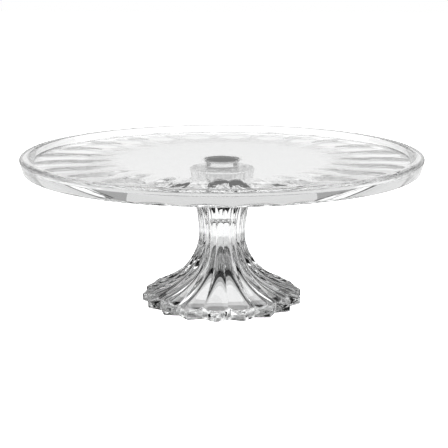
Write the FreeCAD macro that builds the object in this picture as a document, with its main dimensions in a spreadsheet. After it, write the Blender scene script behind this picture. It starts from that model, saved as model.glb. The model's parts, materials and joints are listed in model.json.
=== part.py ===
import FreeCAD, Part
import math
import os

import Sketcher

# A pressed-crystal cake stand: two glass pressings and the clear film that bonds them.
# Millimetres, +Z up. The stand rests on z = 0 and its axis of symmetry is the Z axis.

# Driving dimensions. Radii are measured from the Z axis and levels from z = 0.
DIMENSIONS = {
    # Plate: a disc with a raised lip, petals pressed into its underside and a short boss below.
    "rim_corner_radius": 160.7,
    "overall_height": 122.0,
    "floor_level": 117.2,
    "underside_level": 110.0,
    "recess_radius": 149.0,
    "lip_inner_radius": 152.2,
    "rim_foot_radius": 157.3,
    "lip_rounding": 2.2,
    "rim_rounding": 1.0,
    "plate_petals": 24,
    "petal_start_radius": 100.0,
    "petal_crest_radius": 128.0,
    "petal_end_radius": 152.0,
    "petal_crest_level": 112.0,
    "petal_axis_level": 30.0,
    "boss_top_radius": 15.4,
    "boss_radius": 13.4,
    "boss_flare_level": 108.0,
    # Bond: a film of clear adhesive between the boss and the top of the neck.
    "bond_level": 103.0,
    "bond_thickness": 0.2,
    "bond_radius": 12.8,
    "boss_level": 103.2,
    # Pedestal: a fluted neck and skirt on a star-shaped foot, hollow from below.
    "pedestal_petals": 18,
    "skirt_core_radius": 15.0,
    "skirt_reach": 80.2,
    "skirt_decay": 16.8,
    "neck_taper": 0.215,
    "neck_taper_level": 51.0,
    "neck_taper_blend": 4.0,
    "flute_depth_limit": 1.8,
    "flute_depth_run": 19.0,
    "foot_tip_radius": 65.6,
    "foot_notch_radius": 59.2,
    "foot_height": 30.0,
    "cavity_core_radius": 7.8,
    "cavity_reach": 43.5,
    "cavity_decay": 13.5,
    "cavity_top_level": 69.0,
}

doc = FreeCAD.newDocument("CakeStand")
sheet = doc.addObject("Spreadsheet::Sheet", "Dimensions")
for row, (alias, number) in enumerate(DIMENSIONS.items(), start=1):
    sheet.set(f"A{row}", alias)
    sheet.set(f"B{row}", str(number))
    sheet.setAlias(f"B{row}", alias)
doc.recompute()


def size(alias):
    """A driving dimension, read from the sheet."""
    return float(getattr(sheet, alias))


def cell(alias):
    """The expression that ties a property or constraint to a driving dimension."""
    return f"Dimensions.{alias}"


def polar(radius, degrees, level):
    """A point at a radius and level, at an angle turned from the -Y direction towards +X."""
    angle = math.radians(degrees)
    return FreeCAD.Vector(radius * math.sin(angle), -radius * math.cos(angle), level)


def origin_feature(body, role):
    return next(item for item in body.Origin.OriginFeatures if item.Role == role)


def new_body(label):
    body = doc.addObject("PartDesign::Body", label)
    body.Label = label
    body.Placement = FreeCAD.Placement()
    return body


def half_section(body, name, corners, axis=None):
    """A closed sketch on the XZ plane through corners given as (radius alias, level alias).

    A radius alias of None puts the corner on the Z axis. Where axis is given, it is a pair of
    corner numbers, and a construction line is drawn between them for a feature to turn about.
    """
    sketch = body.newObject("Sketcher::SketchObject", name)
    sketch.AttachmentSupport = [(origin_feature(body, "XZ_Plane"), "")]
    sketch.MapMode = "FlatFace"
    points = [FreeCAD.Vector(size(across) if across else 0.0, size(up), 0) for across, up in corners]
    lines = []
    for start, end in zip(points, points[1:] + points[:1]):
        lines.append(sketch.addGeometry(Part.LineSegment(start, end), False))
    for line, following in zip(lines, lines[1:] + lines[:1]):
        sketch.addConstraint(Sketcher.Constraint("Coincident", line, 2, following, 1))
    for line, (across, up) in zip(lines, corners):
        rise = sketch.addConstraint(Sketcher.Constraint("DistanceY", -1, 1, line, 1, size(up)))
        sketch.setExpression(f"Constraints[{rise}]", cell(up))
        if across:
            run = sketch.addConstraint(Sketcher.Constraint("DistanceX", -1, 1, line, 1, size(across)))
            sketch.setExpression(f"Constraints[{run}]", cell(across))
        else:
            sketch.addConstraint(Sketcher.Constraint("PointOnObject", line, 1, -2))
    if axis:
        first, last = axis
        spine = sketch.addGeometry(Part.LineSegment(points[first], points[last]), True)
        sketch.addConstraint(Sketcher.Constraint("Coincident", spine, 1, lines[first], 1))
        sketch.addConstraint(Sketcher.Constraint("Coincident", spine, 2, lines[last], 1))
    doc.recompute()
    return sketch


def turned(body, kind, name, sketch, axis):
    """A full-turn Revolution or Groove of a sketch; a turn that changes nothing is an error."""
    before = body.Shape.Volume if body.Tip else 0.0
    feature = body.newObject(f"PartDesign::{kind}", name)
    feature.Profile = sketch
    feature.ReferenceAxis = axis
    feature.Angle = 360.0
    doc.recompute()
    change = body.Shape.Volume - before
    if (kind == "Groove") == (change >= 0.0):
        raise RuntimeError(f"{name} did not change the solid as it should")
    return feature


def circular_edges(shape, radius_alias, level_alias):
    """Names of the circular edges about the Z axis at a radius and level."""
    names = []
    for number, edge in enumerate(shape.Edges, start=1):
        curve = edge.Curve
        if curve.TypeId != "Part::GeomCircle":
            continue
        right_radius = abs(curve.Radius - size(radius_alias)) < 1e-6
        right_level = abs(curve.Center.z - size(level_alias)) < 1e-6
        if right_radius and right_level:
            names.append(f"Edge{number}")
    return names


def rounded(body, name, base, edges, radius_alias):
    fillet = body.newObject("PartDesign::Fillet", name)
    fillet.Base = (base, edges)
    fillet.setExpression("Radius", cell(radius_alias))
    doc.recompute()
    return fillet


def build_plate():
    body = new_body("plate")
    z_axis = (origin_feature(body, "Z_Axis"), "")

    disc_corners = [
        (None, "floor_level"),
        ("recess_radius", "floor_level"),
        ("lip_inner_radius", "overall_height"),
        ("rim_corner_radius", "overall_height"),
        ("rim_foot_radius", "underside_level"),
        (None, "underside_level"),
    ]
    disc_section = half_section(body, "disc_section", disc_corners)
    disc = turned(body, "Revolution", "disc", disc_section, z_axis)

    crest_edges = circular_edges(disc.Shape, "lip_inner_radius", "overall_height")
    crest_edges += circular_edges(disc.Shape, "rim_corner_radius", "overall_height")
    lip = rounded(body, "rounded_lip", disc, crest_edges, "lip_rounding")
    rim_edges = circular_edges(lip.Shape, "rim_foot_radius", "underside_level")
    rim_edges += circular_edges(lip.Shape, "recess_radius", "floor_level")
    rounded(body, "rounded_rim", lip, rim_edges, "rim_rounding")

    # One petal is the top of a broad barrel that lies along a radius, far below the underside.
    petal_corners = [
        ("petal_start_radius", "petal_axis_level"),
        ("petal_start_radius", "underside_level"),
        ("petal_crest_radius", "petal_crest_level"),
        ("petal_end_radius", "underside_level"),
        ("petal_end_radius", "petal_axis_level"),
    ]
    petal_section = half_section(body, "petal_section", petal_corners, axis=(0, 4))
    petal = turned(body, "Groove", "petal", petal_section, (petal_section, ["Axis0"]))

    petals = body.newObject("PartDesign::PolarPattern", "petals")
    petals.Originals = [petal]
    petals.Axis = (origin_feature(body, "Z_Axis"), [""])
    petals.Angle = 360.0
    petals.setExpression("Occurrences", cell("plate_petals"))
    body.Tip = petals
    doc.recompute()

    boss_corners = [
        (None, "petal_crest_level"),
        ("boss_top_radius", "petal_crest_level"),
        ("boss_radius", "boss_flare_level"),
        ("boss_radius", "boss_level"),
        (None, "boss_level"),
    ]
    boss_section = half_section(body, "boss_section", boss_corners)
    turned(body, "Revolution", "boss", boss_section, z_axis)
    return body


def build_bond_layer():
    film = doc.addObject("Part::Cylinder", "bond_layer")
    film.Label = "bond_layer"
    film.setExpression("Radius", cell("bond_radius"))
    film.setExpression("Height", cell("bond_thickness"))
    film.Placement = FreeCAD.Placement()
    film.setExpression("Placement.Base.z", cell("bond_level"))
    doc.recompute()
    return film


def ridge_radius(level):
    """Radius of the sharp ridges between flutes: a flare below that blends into a taper above."""
    flare = size("skirt_reach") * math.exp(-level / size("skirt_decay"))
    above = level - size("neck_taper_level")
    taper = size("neck_taper") * (above + math.hypot(above, size("neck_taper_blend"))) / 2
    return size("skirt_core_radius") + flare + taper


def flute_radius(level):
    """Radius of the bottom of each flute, which is sunk square to the sloping surface."""
    ridge = ridge_radius(level)
    slope = size("skirt_reach") / size("skirt_decay") * math.exp(-level / size("skirt_decay"))
    depth = size("flute_depth_limit") * (1 - math.exp(-ridge / size("flute_depth_run")))
    return ridge - depth * math.hypot(1.0, slope)


def fluted_wire(level):
    """A closed ring of hollow arcs, one for each flute, meeting at the ridges."""
    count = int(size("pedestal_petals"))
    step = 360.0 / count
    ridge = ridge_radius(level)
    flute = flute_radius(level)
    arcs = []
    for number in range(count):
        middle = number * step
        start = polar(ridge, middle - step / 2, level)
        bottom = polar(flute, middle, level)
        end = polar(ridge, middle + step / 2, level)
        arcs.append(Part.Arc(start, bottom, end).toShape())
    return Part.Wire(arcs)


def solid_feature(name, shape):
    feature = doc.addObject("Part::Feature", name)
    feature.Label = name
    feature.Shape = shape
    feature.Placement = FreeCAD.Placement()
    return feature


def fluted_blank():
    """The neck and skirt as one loft through fluted rings, wider than the foot at its base."""
    top = size("bond_level")
    skirt_levels = [0.0, 3.5, 7.0, 11.0, 15.5, 20.5, 26.0, 32.0, 38.5]
    neck_levels = [45.0, 52.0, 59.5, 67.5, 76.0, 85.0, 94.0, top]
    wires = [fluted_wire(level) for level in skirt_levels + neck_levels]
    return solid_feature("fluted_blank", Part.makeLoft(wires, True, False))


def foot_star():
    """An upright prism whose outline is a star with one point in front of each flute."""
    count = int(size("pedestal_petals"))
    step = 360.0 / count
    corners = []
    for number in range(count):
        corners.append(polar(size("foot_tip_radius"), number * step, 0.0))
        corners.append(polar(size("foot_notch_radius"), (number + 0.5) * step, 0.0))
    face = Part.Face(Part.makePolygon(corners + corners[:1]))
    skirt = face.extrude(FreeCAD.Vector(0, 0, size("foot_height")))
    # Above the foot the blank is slimmer than the star, so a plain cylinder carries the form on up.
    height = size("bond_level") - size("foot_height")
    base = FreeCAD.Vector(0, 0, size("foot_height"))
    column = Part.makeCylinder(size("foot_notch_radius"), height, base)
    return solid_feature("foot_star", skirt.fuse(column))


def cavity_radius(level):
    return size("cavity_core_radius") + size("cavity_reach") * math.exp(-level / size("cavity_decay"))


def cavity_core():
    """The hollow under the skirt: a bell that narrows to a flat-topped shaft in the neck."""
    top = size("cavity_top_level")
    levels = [0.0, 4.0, 8.5, 14.0, 20.0, 27.0, 35.0, 45.0, 56.0, top]
    points = [FreeCAD.Vector(cavity_radius(level), 0, level) for level in levels]
    bell = Part.BSplineCurve()
    bell.interpolate(points)
    base = FreeCAD.Vector(0, 0, 0)
    tip = FreeCAD.Vector(0, 0, top)
    edges = [
        Part.LineSegment(base, points[0]).toShape(),
        bell.toShape(),
        Part.LineSegment(points[-1], tip).toShape(),
        Part.LineSegment(tip, base).toShape(),
    ]
    face = Part.Face(Part.Wire(edges))
    solid = face.revolve(base, FreeCAD.Vector(0, 0, 1), 360.0)
    return solid_feature("cavity_core", solid)


def build_pedestal():
    common = doc.addObject("Part::MultiCommon", "pedestal_blank")
    common.Shapes = [fluted_blank(), foot_star()]
    doc.recompute()
    pedestal = doc.addObject("Part::Cut", "pedestal")
    pedestal.Label = "pedestal"
    pedestal.Base = common
    pedestal.Tool = cavity_core()
    pedestal.Placement = FreeCAD.Placement()
    doc.recompute()
    return pedestal


def check(feature):
    shape = feature.Shape
    if shape.isNull() or not shape.isValid():
        raise RuntimeError(f"{feature.Label} has no valid shape")
    if len(shape.Solids) != 1:
        raise RuntimeError(f"{feature.Label} should be one solid, not {len(shape.Solids)}")


parts = [build_plate(), build_bond_layer(), build_pedestal()]
doc.recompute()
for item in doc.Objects:
    if "Invalid" in item.State or "Error" in item.State:
        raise RuntimeError(f"{item.Label} failed: {item.State}")
for part in parts:
    check(part)

os.makedirs("parts", exist_ok=True)
for part in parts:
    part.Shape.exportStep(f"parts/{part.Label}.step")
    points, _ = part.Shape.tessellate(0.05)
    reach = max(math.hypot(point.x, point.y) for point in points)
    levels = [point.z for point in points]
    print(
        f"{part.Label}: volume {part.Shape.Volume / 1000:.1f} cm3, "
        f"radius {reach:.2f} mm, z {min(levels):.2f} to {max(levels):.2f}"
    )
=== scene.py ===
import json
import math

import bpy
import numpy as np
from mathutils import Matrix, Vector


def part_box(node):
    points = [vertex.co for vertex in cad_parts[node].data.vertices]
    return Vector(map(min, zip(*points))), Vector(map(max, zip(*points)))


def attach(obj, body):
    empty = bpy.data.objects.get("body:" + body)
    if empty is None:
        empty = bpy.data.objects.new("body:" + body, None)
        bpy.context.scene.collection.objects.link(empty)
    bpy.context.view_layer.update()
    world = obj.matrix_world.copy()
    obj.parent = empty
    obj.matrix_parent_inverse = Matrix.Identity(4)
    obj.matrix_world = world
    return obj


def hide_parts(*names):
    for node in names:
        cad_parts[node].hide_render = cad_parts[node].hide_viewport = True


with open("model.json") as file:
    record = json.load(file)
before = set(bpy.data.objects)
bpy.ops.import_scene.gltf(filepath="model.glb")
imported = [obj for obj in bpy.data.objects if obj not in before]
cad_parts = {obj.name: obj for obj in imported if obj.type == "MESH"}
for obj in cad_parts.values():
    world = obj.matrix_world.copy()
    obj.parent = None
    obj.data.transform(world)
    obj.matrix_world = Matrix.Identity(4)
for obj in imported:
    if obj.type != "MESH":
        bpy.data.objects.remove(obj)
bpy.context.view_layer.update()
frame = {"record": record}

# A clear crystal cake stand: a lipped plate bonded to a fluted, hollow pedestal.
# Lengths are worked out in millimetres and turned into metres as each mesh is made.

MM = 0.001


def node_box(node):
    """Lowest and highest corner of a CAD node, in millimetres."""
    low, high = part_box(node)
    return np.array(low) / MM, np.array(high) / MM


PLATE_HIGH = node_box("plate")[1]
PEDESTAL_HIGH = node_box("pedestal")[1]
BOND_LOW, BOND_HIGH = node_box("bond_layer")
MOUNTS = {mount["name"]: mount for mount in frame["record"]["mounts"]}

# Plate.
LIP_TOP = PLATE_HIGH[2]
FLOOR = MOUNTS["plate_floor"]["pos_m"][2] / MM
PLATE_RADIUS = 160.0
UNDERSIDE = 110.0
RIM_FOOT_RADIUS = 157.3
RECESS_RADIUS = 149.0
RECESS_CORNER = 1.6
LIP_INNER_RADIUS = 152.2
LIP_INNER_CORNER = 2.2
LIP_OUTER_CORNER = 2.6
LIP_FLARE = 0.6
RIM_FOOT_CORNER = 1.0
RIM_FOOT_WIDTH = 2.4
BOSS_RADIUS = 13.4
BOSS_EDGE_CORNER = 0.4
BOSS_FLARE_RADIUS = 15.8
BOSS_FLARE_CORNER = 1.8
BOSS_FLARE_INSET = 2.2
BOSS_SURROUND = 2
PLATE_PETALS = 24
PETAL_START_RADIUS = 100.0
PETAL_CREST_RADIUS = 128.0
PETAL_END_RADIUS = 152.0
PETAL_RISE = 2.0
PETAL_BARREL_RADIUS = 81.0
PETAL_RINGS = 28

# Pedestal.
NECK_TOP = PEDESTAL_HIGH[2]
FOOT_FLUTES = 18
SKIRT_CORE = 15.0
SKIRT_REACH = 80.2
SKIRT_DECAY = 16.8
NECK_TAPER = 0.215
NECK_TAPER_LEVEL = 51.0
NECK_TAPER_BLEND = 4.0
FLUTE_DEPTH_LIMIT = 1.8
FLUTE_DEPTH_RUN = 19.0
FOOT_TIP_RADIUS = 65.6
FOOT_NOTCH_RADIUS = 59.2
FOOT_ROUNDING = 1.6
FOOT_EDGE_EASE = 0.45
FOOT_WALL_EASE = 0.6
NECK_TOP_EASE = 0.3
RIDGE_SOFTNESS = 0.3
SURFACE_RINGS = 120
SURFACE_CROWDING = 1.7
CAVITY_CORE = 7.8
CAVITY_REACH = 43.5
CAVITY_DECAY = 13.5
CAVITY_TOP = 69.0
CAVITY_CORNER = 1.4
CAVITY_MOUTH_EASE = 0.6
CAVITY_CAP_DEPTH = 6
CAVITY_CAP_FLAT = 4.0
CAVITY_RINGS = 60

# Bond.
BOND_RADIUS = (BOND_HIGH[0] - BOND_LOW[0]) / 2
BOND_EDGE_HOLLOW = 0.05
BOND_COLUMNS = 96

# Halvings that find where two surfaces meet.
SEARCH_STEPS = 40


# ---------------------------------------------------------------- mesh making


def closed_skin(name, rings, start, end, sharp_rings=(), sharp_columns=(), bands=()):
    """A closed mesh through rings of points, with a point closing it at each end.

    rings is an array of rings by columns by (x, y, z) in millimetres. bands are the numbers of
    the ring gaps, counted from the start point, that take the second material.
    """
    ring_count, column_count, _ = rings.shape
    points = np.vstack([rings.reshape(-1, 3), [start], [end]]) * MM
    first_pole = ring_count * column_count
    last_pole = first_pole + 1
    column = np.arange(column_count)
    following = (column + 1) % column_count
    faces = [(first_pole, int(a), int(b)) for a, b in zip(column, following)]
    face_bands = [0] * column_count
    for ring in range(ring_count - 1):
        low = ring * column_count
        high = low + column_count
        for a, b in zip(column, following):
            faces.append((low + int(b), low + int(a), high + int(a), high + int(b)))
        face_bands += [ring + 1] * column_count
    top = (ring_count - 1) * column_count
    faces += [(last_pole, top + int(b), top + int(a)) for a, b in zip(column, following)]
    face_bands += [ring_count] * column_count
    mesh = bpy.data.meshes.new(name)
    mesh.from_pydata([tuple(point) for point in points], [], faces)
    mesh.shade_smooth()
    second = [1 if band in bands else 0 for band in face_bands]
    mesh.polygons.foreach_set("material_index", second)
    mark_sharp(mesh, column_count, set(sharp_rings), set(sharp_columns))
    mesh.validate()
    mesh.update()
    piece = bpy.data.objects.new(name, mesh)
    bpy.context.collection.objects.link(piece)
    return piece


def mark_sharp(mesh, column_count, sharp_rings, sharp_columns):
    """Keeps a crease along whole rings, and along (column, first ring, last ring) runs."""
    runs = {}
    for column, first, last in sharp_columns:
        runs[column] = (first, last)
    pole = len(mesh.vertices) - 2
    for edge in mesh.edges:
        a, b = edge.vertices
        if max(a, b) >= pole:
            continue
        ring_a, column_a = divmod(a, column_count)
        ring_b, column_b = divmod(b, column_count)
        if ring_a == ring_b:
            edge.use_edge_sharp = ring_a in sharp_rings
        elif column_a in runs:
            first, last = runs[column_a]
            edge.use_edge_sharp = first <= min(ring_a, ring_b) and max(ring_a, ring_b) <= last


def rounded_outline(corners, steps=6):
    """(radius, level) points along straight edges whose corners have the given rounding."""
    points = []
    for index, (across, up, rounding) in enumerate(corners):
        here = np.array([across, up])
        if rounding == 0:
            points.append(here)
            continue
        before = np.array(corners[index - 1][:2]) - here
        after = np.array(corners[index + 1][:2]) - here
        before /= np.linalg.norm(before)
        after /= np.linalg.norm(after)
        half_turn = math.acos(np.clip(before @ after, -1, 1)) / 2
        inset = rounding / math.tan(half_turn)
        inward = (before + after) / np.linalg.norm(before + after)
        centre = here + inward * rounding / math.sin(half_turn)
        start = here + before * inset - centre
        end = here + after * inset - centre
        sweep = math.atan2(start[0] * end[1] - start[1] * end[0], start @ end)
        for step in range(steps + 1):
            angle = sweep * step / steps
            turn = np.array([[math.cos(angle), -math.sin(angle)], [math.sin(angle), math.cos(angle)]])
            points.append(centre + turn @ start)
    return points


def on_ring(radius, angles, level):
    """Points round the Z axis; angle 0 lies on -Y and angles turn towards +X."""
    radius = np.broadcast_to(radius, angles.shape)
    level = np.broadcast_to(level, angles.shape)
    return np.stack([radius * np.sin(angles), -radius * np.cos(angles), level], axis=-1)


def columns(count, offsets):
    """Angles of every mesh column and their distance from the nearest petal's middle, -1 to 1."""
    local = np.array([-offset for offset in offsets[:0:-1]] + list(offsets[:-1]))
    step = 2 * math.pi / count
    angles = np.concatenate([(number + local / 2) * step for number in range(count)])
    return angles, np.tile(local, count)


# ---------------------------------------------------------------- plate


def petal_rise(radius):
    """Height of a petal's middle line above the underside: a soft start and a steeper end."""
    inner = (radius - PETAL_START_RADIUS) / (PETAL_CREST_RADIUS - PETAL_START_RADIUS)
    outer = (radius - PETAL_CREST_RADIUS) / (PETAL_END_RADIUS - PETAL_CREST_RADIUS)
    swell = np.sin(np.clip(inner, 0, 1) * math.pi / 2) ** 2
    return PETAL_RISE * np.where(radius < PETAL_CREST_RADIUS, swell, 1 - np.clip(outer, 0, 1) ** 2)


def petal_hollow(radius, across):
    """Height of a petal's hollow above the underside; it is negative outside the petal."""
    sideways = radius * np.sin(across * math.pi / PLATE_PETALS)
    return petal_rise(radius) - sideways**2 / (2 * PETAL_BARREL_RADIUS)


def petal_edge(across, outermost):
    """Radius at which a petal's hollow runs out into the underside, beyond or within its crest."""
    inside = np.full(across.shape, PETAL_CREST_RADIUS)
    outside = np.full(across.shape, outermost)
    for _ in range(SEARCH_STEPS):
        middle = (inside + outside) / 2
        hollow = petal_hollow(middle, across) > 0
        inside = np.where(hollow, middle, inside)
        outside = np.where(hollow, outside, middle)
    return inside


def make_plate():
    """The plate: recess, lip and rim, then the petalled underside and the boss."""
    offsets = [0, 0.12, 0.24, 0.36, 0.48, 0.6, 0.72, 0.82, 0.9, 0.96, 1.0]
    angles, across = columns(PLATE_PETALS, offsets)
    top_outline = [
        (RECESS_RADIUS * 0.33, FLOOR, 0),
        (RECESS_RADIUS * 0.66, FLOOR, 0),
        (RECESS_RADIUS * 0.95, FLOOR, 0),
        (RECESS_RADIUS, FLOOR, RECESS_CORNER),
        (LIP_INNER_RADIUS, LIP_TOP, LIP_INNER_CORNER),
        (PLATE_RADIUS + LIP_FLARE, LIP_TOP, LIP_OUTER_CORNER),
        (RIM_FOOT_RADIUS, UNDERSIDE, RIM_FOOT_CORNER),
        (RIM_FOOT_RADIUS - RIM_FOOT_WIDTH, UNDERSIDE, 0),
    ]
    rings = [on_ring(radius, angles, level) for radius, level in rounded_outline(top_outline)]
    petal_end = petal_edge(across, PETAL_END_RADIUS)
    petal_start = petal_edge(across, PETAL_START_RADIUS)
    end_ring = len(rings)
    rings.append(on_ring(petal_end, angles, UNDERSIDE))
    for run in np.linspace(1, 0, PETAL_RINGS)[1:-1]:
        radius = petal_start + (petal_end - petal_start) * run
        rings.append(on_ring(radius, angles, UNDERSIDE + petal_hollow(radius, across)))
    start_ring = len(rings)
    rings.append(on_ring(petal_start, angles, UNDERSIDE))
    flat_start = BOSS_FLARE_RADIUS + BOSS_SURROUND
    for share in (0.3, 0.6, 0.85, 1.0):
        radius = petal_start * (1 - share) + flat_start * share
        rings.append(on_ring(radius, angles, UNDERSIDE))
    boss_outline = [
        (flat_start, UNDERSIDE, 0),
        (BOSS_FLARE_RADIUS - BOSS_FLARE_INSET, UNDERSIDE, BOSS_FLARE_CORNER),
        (BOSS_RADIUS, BOND_HIGH[2], BOSS_EDGE_CORNER),
        (BOND_RADIUS, BOND_HIGH[2], 0),
    ]
    rings += [on_ring(radius, angles, level) for radius, level in rounded_outline(boss_outline)[1:]]
    contact_band = len(rings)
    crease_columns = [index for index, value in enumerate(across) if abs(value) == 1.0]
    creases = [(column, end_ring, start_ring) for column in crease_columns]
    return closed_skin(
        "crystal_plate",
        np.array(rings),
        (0, 0, FLOOR),
        (0, 0, BOND_HIGH[2]),
        sharp_rings=[end_ring, contact_band - 1],
        sharp_columns=creases,
        bands=[contact_band],
    )


# ---------------------------------------------------------------- pedestal


def ridge_radius(level):
    """Radius over the ridges: a flare that dies away upwards, and the neck's slow taper."""
    flare = SKIRT_REACH * np.exp(-level / SKIRT_DECAY)
    above = level - NECK_TAPER_LEVEL
    taper = NECK_TAPER * (above + np.hypot(above, NECK_TAPER_BLEND)) / 2
    return SKIRT_CORE + flare + taper


def flute_radius(level):
    """Radius at the bottom of the flutes, cut square to the slope of the skirt."""
    ridge = ridge_radius(level)
    slope = SKIRT_REACH / SKIRT_DECAY * np.exp(-level / SKIRT_DECAY)
    depth = FLUTE_DEPTH_LIMIT * (1 - np.exp(-ridge / FLUTE_DEPTH_RUN))
    return ridge - depth * np.hypot(1, slope)


def fluted_radius(level, across):
    """Radius of the fluted surface, whose level sections are hollow arcs with softened ridges."""
    half = math.pi / FOOT_FLUTES
    ridge = ridge_radius(level)
    bottom = flute_radius(level)
    chord = ridge * math.sin(half)
    sag = ridge * math.cos(half) - bottom
    curve = (chord**2 + sag**2) / (2 * sag)
    centre = bottom + curve

    def arc(angle):
        return centre * np.cos(angle) - np.sqrt(curve**2 - (centre * np.sin(angle)) ** 2)

    angle = np.abs(across) * half
    probe = 0.002
    steepness = (arc(half) - arc(half - probe)) / (probe * ridge)
    softness = RIDGE_SOFTNESS * steepness**2
    distance = steepness * ridge * (half - angle)
    return arc(angle) - (np.hypot(distance, softness) - distance)


def star_radius(across):
    """Outline of the foot: straight runs from each point to the notches beside it."""
    half = math.pi / FOOT_FLUTES
    angle = np.abs(across) * half
    area = FOOT_TIP_RADIUS * FOOT_NOTCH_RADIUS * math.sin(half)
    line = area / (FOOT_TIP_RADIUS * np.sin(angle) + FOOT_NOTCH_RADIUS * np.sin(half - angle))
    steepness = 0.55
    tip_softness = 0.35
    notch_softness = 0.2
    from_tip = steepness * line * angle
    from_notch = steepness * line * (half - angle)
    line -= np.hypot(from_tip, tip_softness) - from_tip
    line += np.hypot(from_notch, notch_softness) - from_notch
    return line


def edge_level(across):
    """Level at which the fluted surface meets the upright wall of the star foot."""
    low = np.full(across.shape, 0.5)
    high = np.full(across.shape, 30.0)
    star = star_radius(across)
    for _ in range(SEARCH_STEPS):
        middle = (low + high) / 2
        outside = fluted_radius(middle, across) > star
        low = np.where(outside, middle, low)
        high = np.where(outside, high, middle)
    return (low + high) / 2


def bent(start, corner, end, steps):
    """Rings along a smooth bend from start to end, drawn towards the corner."""
    return [
        start * (1 - share) ** 2 + corner * 2 * share * (1 - share) + end * share**2
        for share in np.linspace(0, 1, steps + 1)[1:-1]
    ]


def cavity_radius(level):
    """Radius of the hollow under the skirt and neck."""
    return CAVITY_CORE + CAVITY_REACH * math.exp(-level / CAVITY_DECAY)


def make_pedestal():
    """The pedestal: neck top, fluted surface, star wall, sole, then the hollow inside."""
    offsets = [0, 0.035, 0.08, 0.15, 0.25, 0.37, 0.5, 0.63, 0.75, 0.85, 0.92, 0.965, 1.0]
    angles, across = columns(FOOT_FLUTES, offsets)
    edge = edge_level(across)
    star = star_radius(across)
    rings = [on_ring(BOND_RADIUS, angles, NECK_TOP)]
    rings.append(on_ring(fluted_radius(NECK_TOP, across) - NECK_TOP_EASE, angles, NECK_TOP))
    top_edge = len(rings)
    surface_start = edge + FOOT_EDGE_EASE
    for share in np.linspace(1, 0, SURFACE_RINGS):
        height = NECK_TOP - NECK_TOP_EASE - surface_start
        level = surface_start + height * share**SURFACE_CROWDING
        rings.append(on_ring(fluted_radius(level, across), angles, level))
    corner = on_ring(star, angles, edge)
    wall_top_level = edge - FOOT_WALL_EASE
    wall_top = on_ring(star, angles, wall_top_level)
    rings += bent(rings[-1], corner, wall_top, 4)
    rings.append(wall_top)
    for share in np.linspace(0, 1, 6)[1:]:
        rings.append(on_ring(star, angles, wall_top_level * (1 - share) + FOOT_ROUNDING * share))
    foot_corner = on_ring(star - 0.1, angles, 0.1)
    sole = on_ring(star - FOOT_ROUNDING, angles, 0)
    rings += bent(rings[-1], foot_corner, sole, 6)
    rings.append(sole)
    sole_end = cavity_radius(0) + CAVITY_MOUTH_EASE
    for share in (0.4, 0.8, 1.0):
        radius = (star - FOOT_ROUNDING) * (1 - share) + sole_end * share
        rings.append(on_ring(radius, angles, 0))
    cap_start = CAVITY_TOP - CAVITY_CAP_DEPTH
    hollow_levels = np.linspace(CAVITY_MOUTH_EASE, cap_start, CAVITY_RINGS)
    hollow = [(cavity_radius(level), level) for level in hollow_levels]
    rings += [on_ring(radius, angles, level) for radius, level in hollow]
    cap_outline = [
        (cavity_radius(cap_start), cap_start, 0),
        (cavity_radius(CAVITY_TOP), CAVITY_TOP, CAVITY_CORNER),
        (CAVITY_CAP_FLAT, CAVITY_TOP, 0),
    ]
    rings += [on_ring(radius, angles, level) for radius, level in rounded_outline(cap_outline, 8)[1:]]
    return closed_skin(
        "crystal_pedestal",
        np.array(rings),
        (0, 0, NECK_TOP),
        (0, 0, CAVITY_TOP),
        sharp_rings=[0, top_edge - 1],
        bands=[0],
    )


def make_bond():
    """The film of adhesive, squeezed out to a slightly hollow edge."""
    angles = np.linspace(0, 2 * math.pi, BOND_COLUMNS, endpoint=False)
    low, high = BOND_LOW[2], BOND_HIGH[2]
    middle = (low + high) / 2
    outline = [(BOND_RADIUS, high), (BOND_RADIUS - BOND_EDGE_HOLLOW, middle), (BOND_RADIUS, low)]
    rings = [on_ring(radius, angles, level) for radius, level in outline]
    return closed_skin("bond_film", np.array(rings), (0, 0, high), (0, 0, low), sharp_rings=[0, 2])


# ---------------------------------------------------------------- materials


CRYSTAL_IOR = 1.53
CRYSTAL_TINT = (0.985, 0.99, 0.99)
RIPPLE_HEIGHT = 0.008


def new_material(name):
    material = bpy.data.materials.new(name)
    material.use_nodes = True
    nodes = material.node_tree.nodes
    return material, nodes, material.node_tree.links, nodes["Principled BSDF"]


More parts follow.
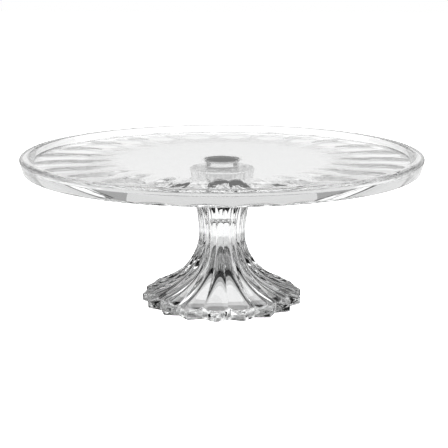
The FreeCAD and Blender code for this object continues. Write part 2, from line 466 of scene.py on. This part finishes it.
def crystal(name, ripple_scale):
    """Fire-polished pressed crystal: clear, with faint ripples and slightly uneven polish."""
    material, nodes, links, shader = new_material(name)
    shader.inputs["Transmission Weight"].default_value = 1.0
    shader.inputs["IOR"].default_value = CRYSTAL_IOR
    place = nodes.new("ShaderNodeTexCoord")

    polish = nodes.new("ShaderNodeTexNoise")
    polish.inputs["Scale"].default_value = 90.0
    polish.inputs["Detail"].default_value = 3.0
    links.new(place.outputs["Object"], polish.inputs["Vector"])
    roughness = nodes.new("ShaderNodeMapRange")
    roughness.inputs["From Min"].default_value = 0.45
    roughness.inputs["From Max"].default_value = 0.8
    roughness.inputs["To Min"].default_value = 0.0
    roughness.inputs["To Max"].default_value = 0.006
    links.new(polish.outputs["Fac"], roughness.inputs["Value"])
    links.new(roughness.outputs["Result"], shader.inputs["Roughness"])

    ripple = nodes.new("ShaderNodeTexNoise")
    ripple.inputs["Scale"].default_value = ripple_scale
    ripple.inputs["Detail"].default_value = 1.5
    links.new(place.outputs["Object"], ripple.inputs["Vector"])
    bump = nodes.new("ShaderNodeBump")
    bump.inputs["Strength"].default_value = 1.0
    bump.inputs["Distance"].default_value = RIPPLE_HEIGHT * MM
    links.new(ripple.outputs["Fac"], bump.inputs["Height"])
    links.new(bump.outputs["Normal"], shader.inputs["Normal"])

    colour = nodes.new("ShaderNodeMix")
    colour.data_type = "RGBA"
    colour.inputs["A"].default_value = (1.0, 1.0, 1.0, 1.0)
    colour.inputs["B"].default_value = (*CRYSTAL_TINT, 1.0)
    links.new(ripple.outputs["Fac"], colour.inputs["Factor"])
    links.new(colour.outputs["Result"], shader.inputs["Base Color"])
    return material


def optical_contact(name):
    """A face wetted by the adhesive: light passes it unbent, with a trace of cloud."""
    material, nodes, links, shader = new_material(name)
    shader.inputs["Transmission Weight"].default_value = 1.0
    shader.inputs["IOR"].default_value = 1.0
    shader.inputs["Roughness"].default_value = 0.0
    place = nodes.new("ShaderNodeTexCoord")
    cloud = nodes.new("ShaderNodeTexNoise")
    cloud.inputs["Scale"].default_value = 160.0
    links.new(place.outputs["Object"], cloud.inputs["Vector"])
    colour = nodes.new("ShaderNodeMix")
    colour.data_type = "RGBA"
    colour.inputs["A"].default_value = (1.0, 1.0, 1.0, 1.0)
    colour.inputs["B"].default_value = (0.96, 0.96, 0.95, 1.0)
    links.new(cloud.outputs["Fac"], colour.inputs["Factor"])
    links.new(colour.outputs["Result"], shader.inputs["Base Color"])
    return material


def plain(name, value, emission=0.0):
    """A matt grey surface that may glow."""
    material, _, _, shader = new_material(name)
    shader.inputs["Base Color"].default_value = (value, value, value, 1.0)
    shader.inputs["Roughness"].default_value = 0.9
    shader.inputs["Specular IOR Level"].default_value = 0.0
    if emission:
        shader.inputs["Emission Color"].default_value = (1.0, 1.0, 1.0, 1.0)
        shader.inputs["Emission Strength"].default_value = emission
    return material


# ---------------------------------------------------------------- pieces

pieces = [
    (make_plate(), "plate", "plate_glass"),
    (make_bond(), "bond_layer", "clear_adhesive"),
    (make_pedestal(), "pedestal", "pedestal_glass"),
]
contact = optical_contact("optical_contact")
finishes = {
    "plate": [crystal("plate_crystal", 40.0), contact],
    "bond_layer": [optical_contact("clear_adhesive")],
    "pedestal": [crystal("pedestal_crystal", 60.0), contact],
}
for piece, node, slot in pieces:
    for material in finishes[node]:
        piece.data.materials.append(material)
    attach(piece, "root")
    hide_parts(node)


# ---------------------------------------------------------------- studio

LIGHT_BOUNCES = 64
VIEW_GAMMA = 0.7
FLOOR_SIZE = 12.0
RING_STEPS = 144

scene = bpy.context.scene
scene.view_settings.view_transform = "Standard"
scene.view_settings.gamma = VIEW_GAMMA
scene.cycles.max_bounces = LIGHT_BOUNCES
scene.cycles.transmission_bounces = LIGHT_BOUNCES
scene.cycles.glossy_bounces = LIGHT_BOUNCES
scene.cycles.transparent_max_bounces = 16

world = bpy.data.worlds.new("studio_white")
world.use_nodes = True
world.node_tree.nodes["Background"].inputs["Color"].default_value = (1.0, 1.0, 1.0, 1.0)
world.node_tree.nodes["Background"].inputs["Strength"].default_value = 1.0
scene.world = world


def make_floor():
    """The pale floor. The camera sees it directly, but the glass sees the rings below instead."""
    half = FLOOR_SIZE / 2
    mesh = bpy.data.meshes.new("floor")
    corners = [(-half, -half, 0), (half, -half, 0), (half, half, 0), (-half, half, 0)]
    mesh.from_pydata(corners, [], [(0, 1, 2, 3)])
    mesh.materials.append(plain("pale_floor", 0.9, emission=1.0))
    floor = bpy.data.objects.new("floor", mesh)
    bpy.context.collection.objects.link(floor)
    floor.visible_transmission = False
    floor.visible_glossy = False


def painted_surround(name, inner, outer, value):
    """A glowing ring round the stand, between two (radius, level) edges, in metres. Only the glass
    sees it, as a painted reflection, or painted shade where it is dark.
    """
    angles = np.linspace(0, 2 * math.pi, RING_STEPS + 1)
    points = [(r * math.sin(a), -r * math.cos(a), z) for a in angles for r, z in (inner, outer)]
    faces = [(2 * n, 2 * n + 1, 2 * n + 3, 2 * n + 2) for n in range(RING_STEPS)]
    mesh = bpy.data.meshes.new(name)
    mesh.from_pydata(points, [], faces)
    mesh.materials.append(plain(name, 0.0, emission=value))
    ring = bpy.data.objects.new(name, mesh)
    bpy.context.collection.objects.link(ring)
    ring.visible_camera = False
    ring.visible_shadow = False
    ring.visible_diffuse = False


make_floor()

# Brightness of the table from one radius to the next in metres, and of the room from one
# elevation to the next in degrees. The camera doesn't see them. Two rings are black, to put
# dark lines into the clear glass. The edges and values came out of fitting renders to the
# photograph's grey levels at its own view, and most values were then changed.
# Painted shade: the table rings darken towards and under the foot as a painted shadow of the stand,
# seen only through the glass, and the far black ring puts painted dark lines into the glass.
PAINTED_TABLE_RINGS = [
    (0.0, 0.022, 0.9),
    (0.022, 0.032, 0.7),
    (0.032, 0.042, 0.45),
    (0.042, 0.09, 0.0),
    (0.09, 0.25, 0.8),
    (0.25, 2.0, 1.05),
    (2.0, 6.0, 0.0),
]
# Painted reflection: the room bands and the overhead disc light nothing and show only in the glass,
# the bright ones as painted highlights and the dark band as painted dark streaks.
PAINTED_ROOM_BANDS = [
    (0, 4, 0.5),
    (4, 13, 0.8),
    (13, 19, 0.5),
    (19, 35, 0.1),
    (35, 45, 1.4),
]
TABLE_LEVEL = -0.001
ROOM_RADIUS = 5.0
PAINTED_OVERHEAD_VALUE = 1.3
for number, (inner, outer, value) in enumerate(PAINTED_TABLE_RINGS):
    painted_surround(f"painted_table_ring_{number}", (inner, TABLE_LEVEL), (outer, TABLE_LEVEL), value)
for number, (low, high, value) in enumerate(PAINTED_ROOM_BANDS):
    levels = [ROOM_RADIUS * math.tan(math.radians(elevation)) for elevation in (low, high)]
    painted_surround(f"painted_room_band_{number}", (ROOM_RADIUS, levels[0]), (ROOM_RADIUS, levels[1]), value)
painted_surround("painted_overhead", (0.0, ROOM_RADIUS), (ROOM_RADIUS, ROOM_RADIUS), PAINTED_OVERHEAD_VALUE)

# Camera: the long lens and low, near-level view of a catalogue photograph.
CAMERA_DISTANCE = 0.869
CAMERA_HEIGHT = 0.264
CAMERA_TURN = math.radians(4.5)
CAMERA_PITCH = math.radians(13.05)
CAMERA_SIDE = 0.0016
CAMERA_LENS = 88.4
SENSOR_WIDTH = 36.0
camera_data = bpy.data.cameras.new("camera")
camera_data.sensor_width = SENSOR_WIDTH
camera_data.lens = CAMERA_LENS
camera = bpy.data.objects.new("camera", camera_data)
camera.location = (
    CAMERA_DISTANCE * math.sin(CAMERA_TURN) + CAMERA_SIDE * math.cos(CAMERA_TURN),
    -CAMERA_DISTANCE * math.cos(CAMERA_TURN) + CAMERA_SIDE * math.sin(CAMERA_TURN),
    CAMERA_HEIGHT,
)
camera.rotation_euler = (math.pi / 2 - CAMERA_PITCH, 0, CAMERA_TURN)
bpy.context.collection.objects.link(camera)
scene.camera = camera
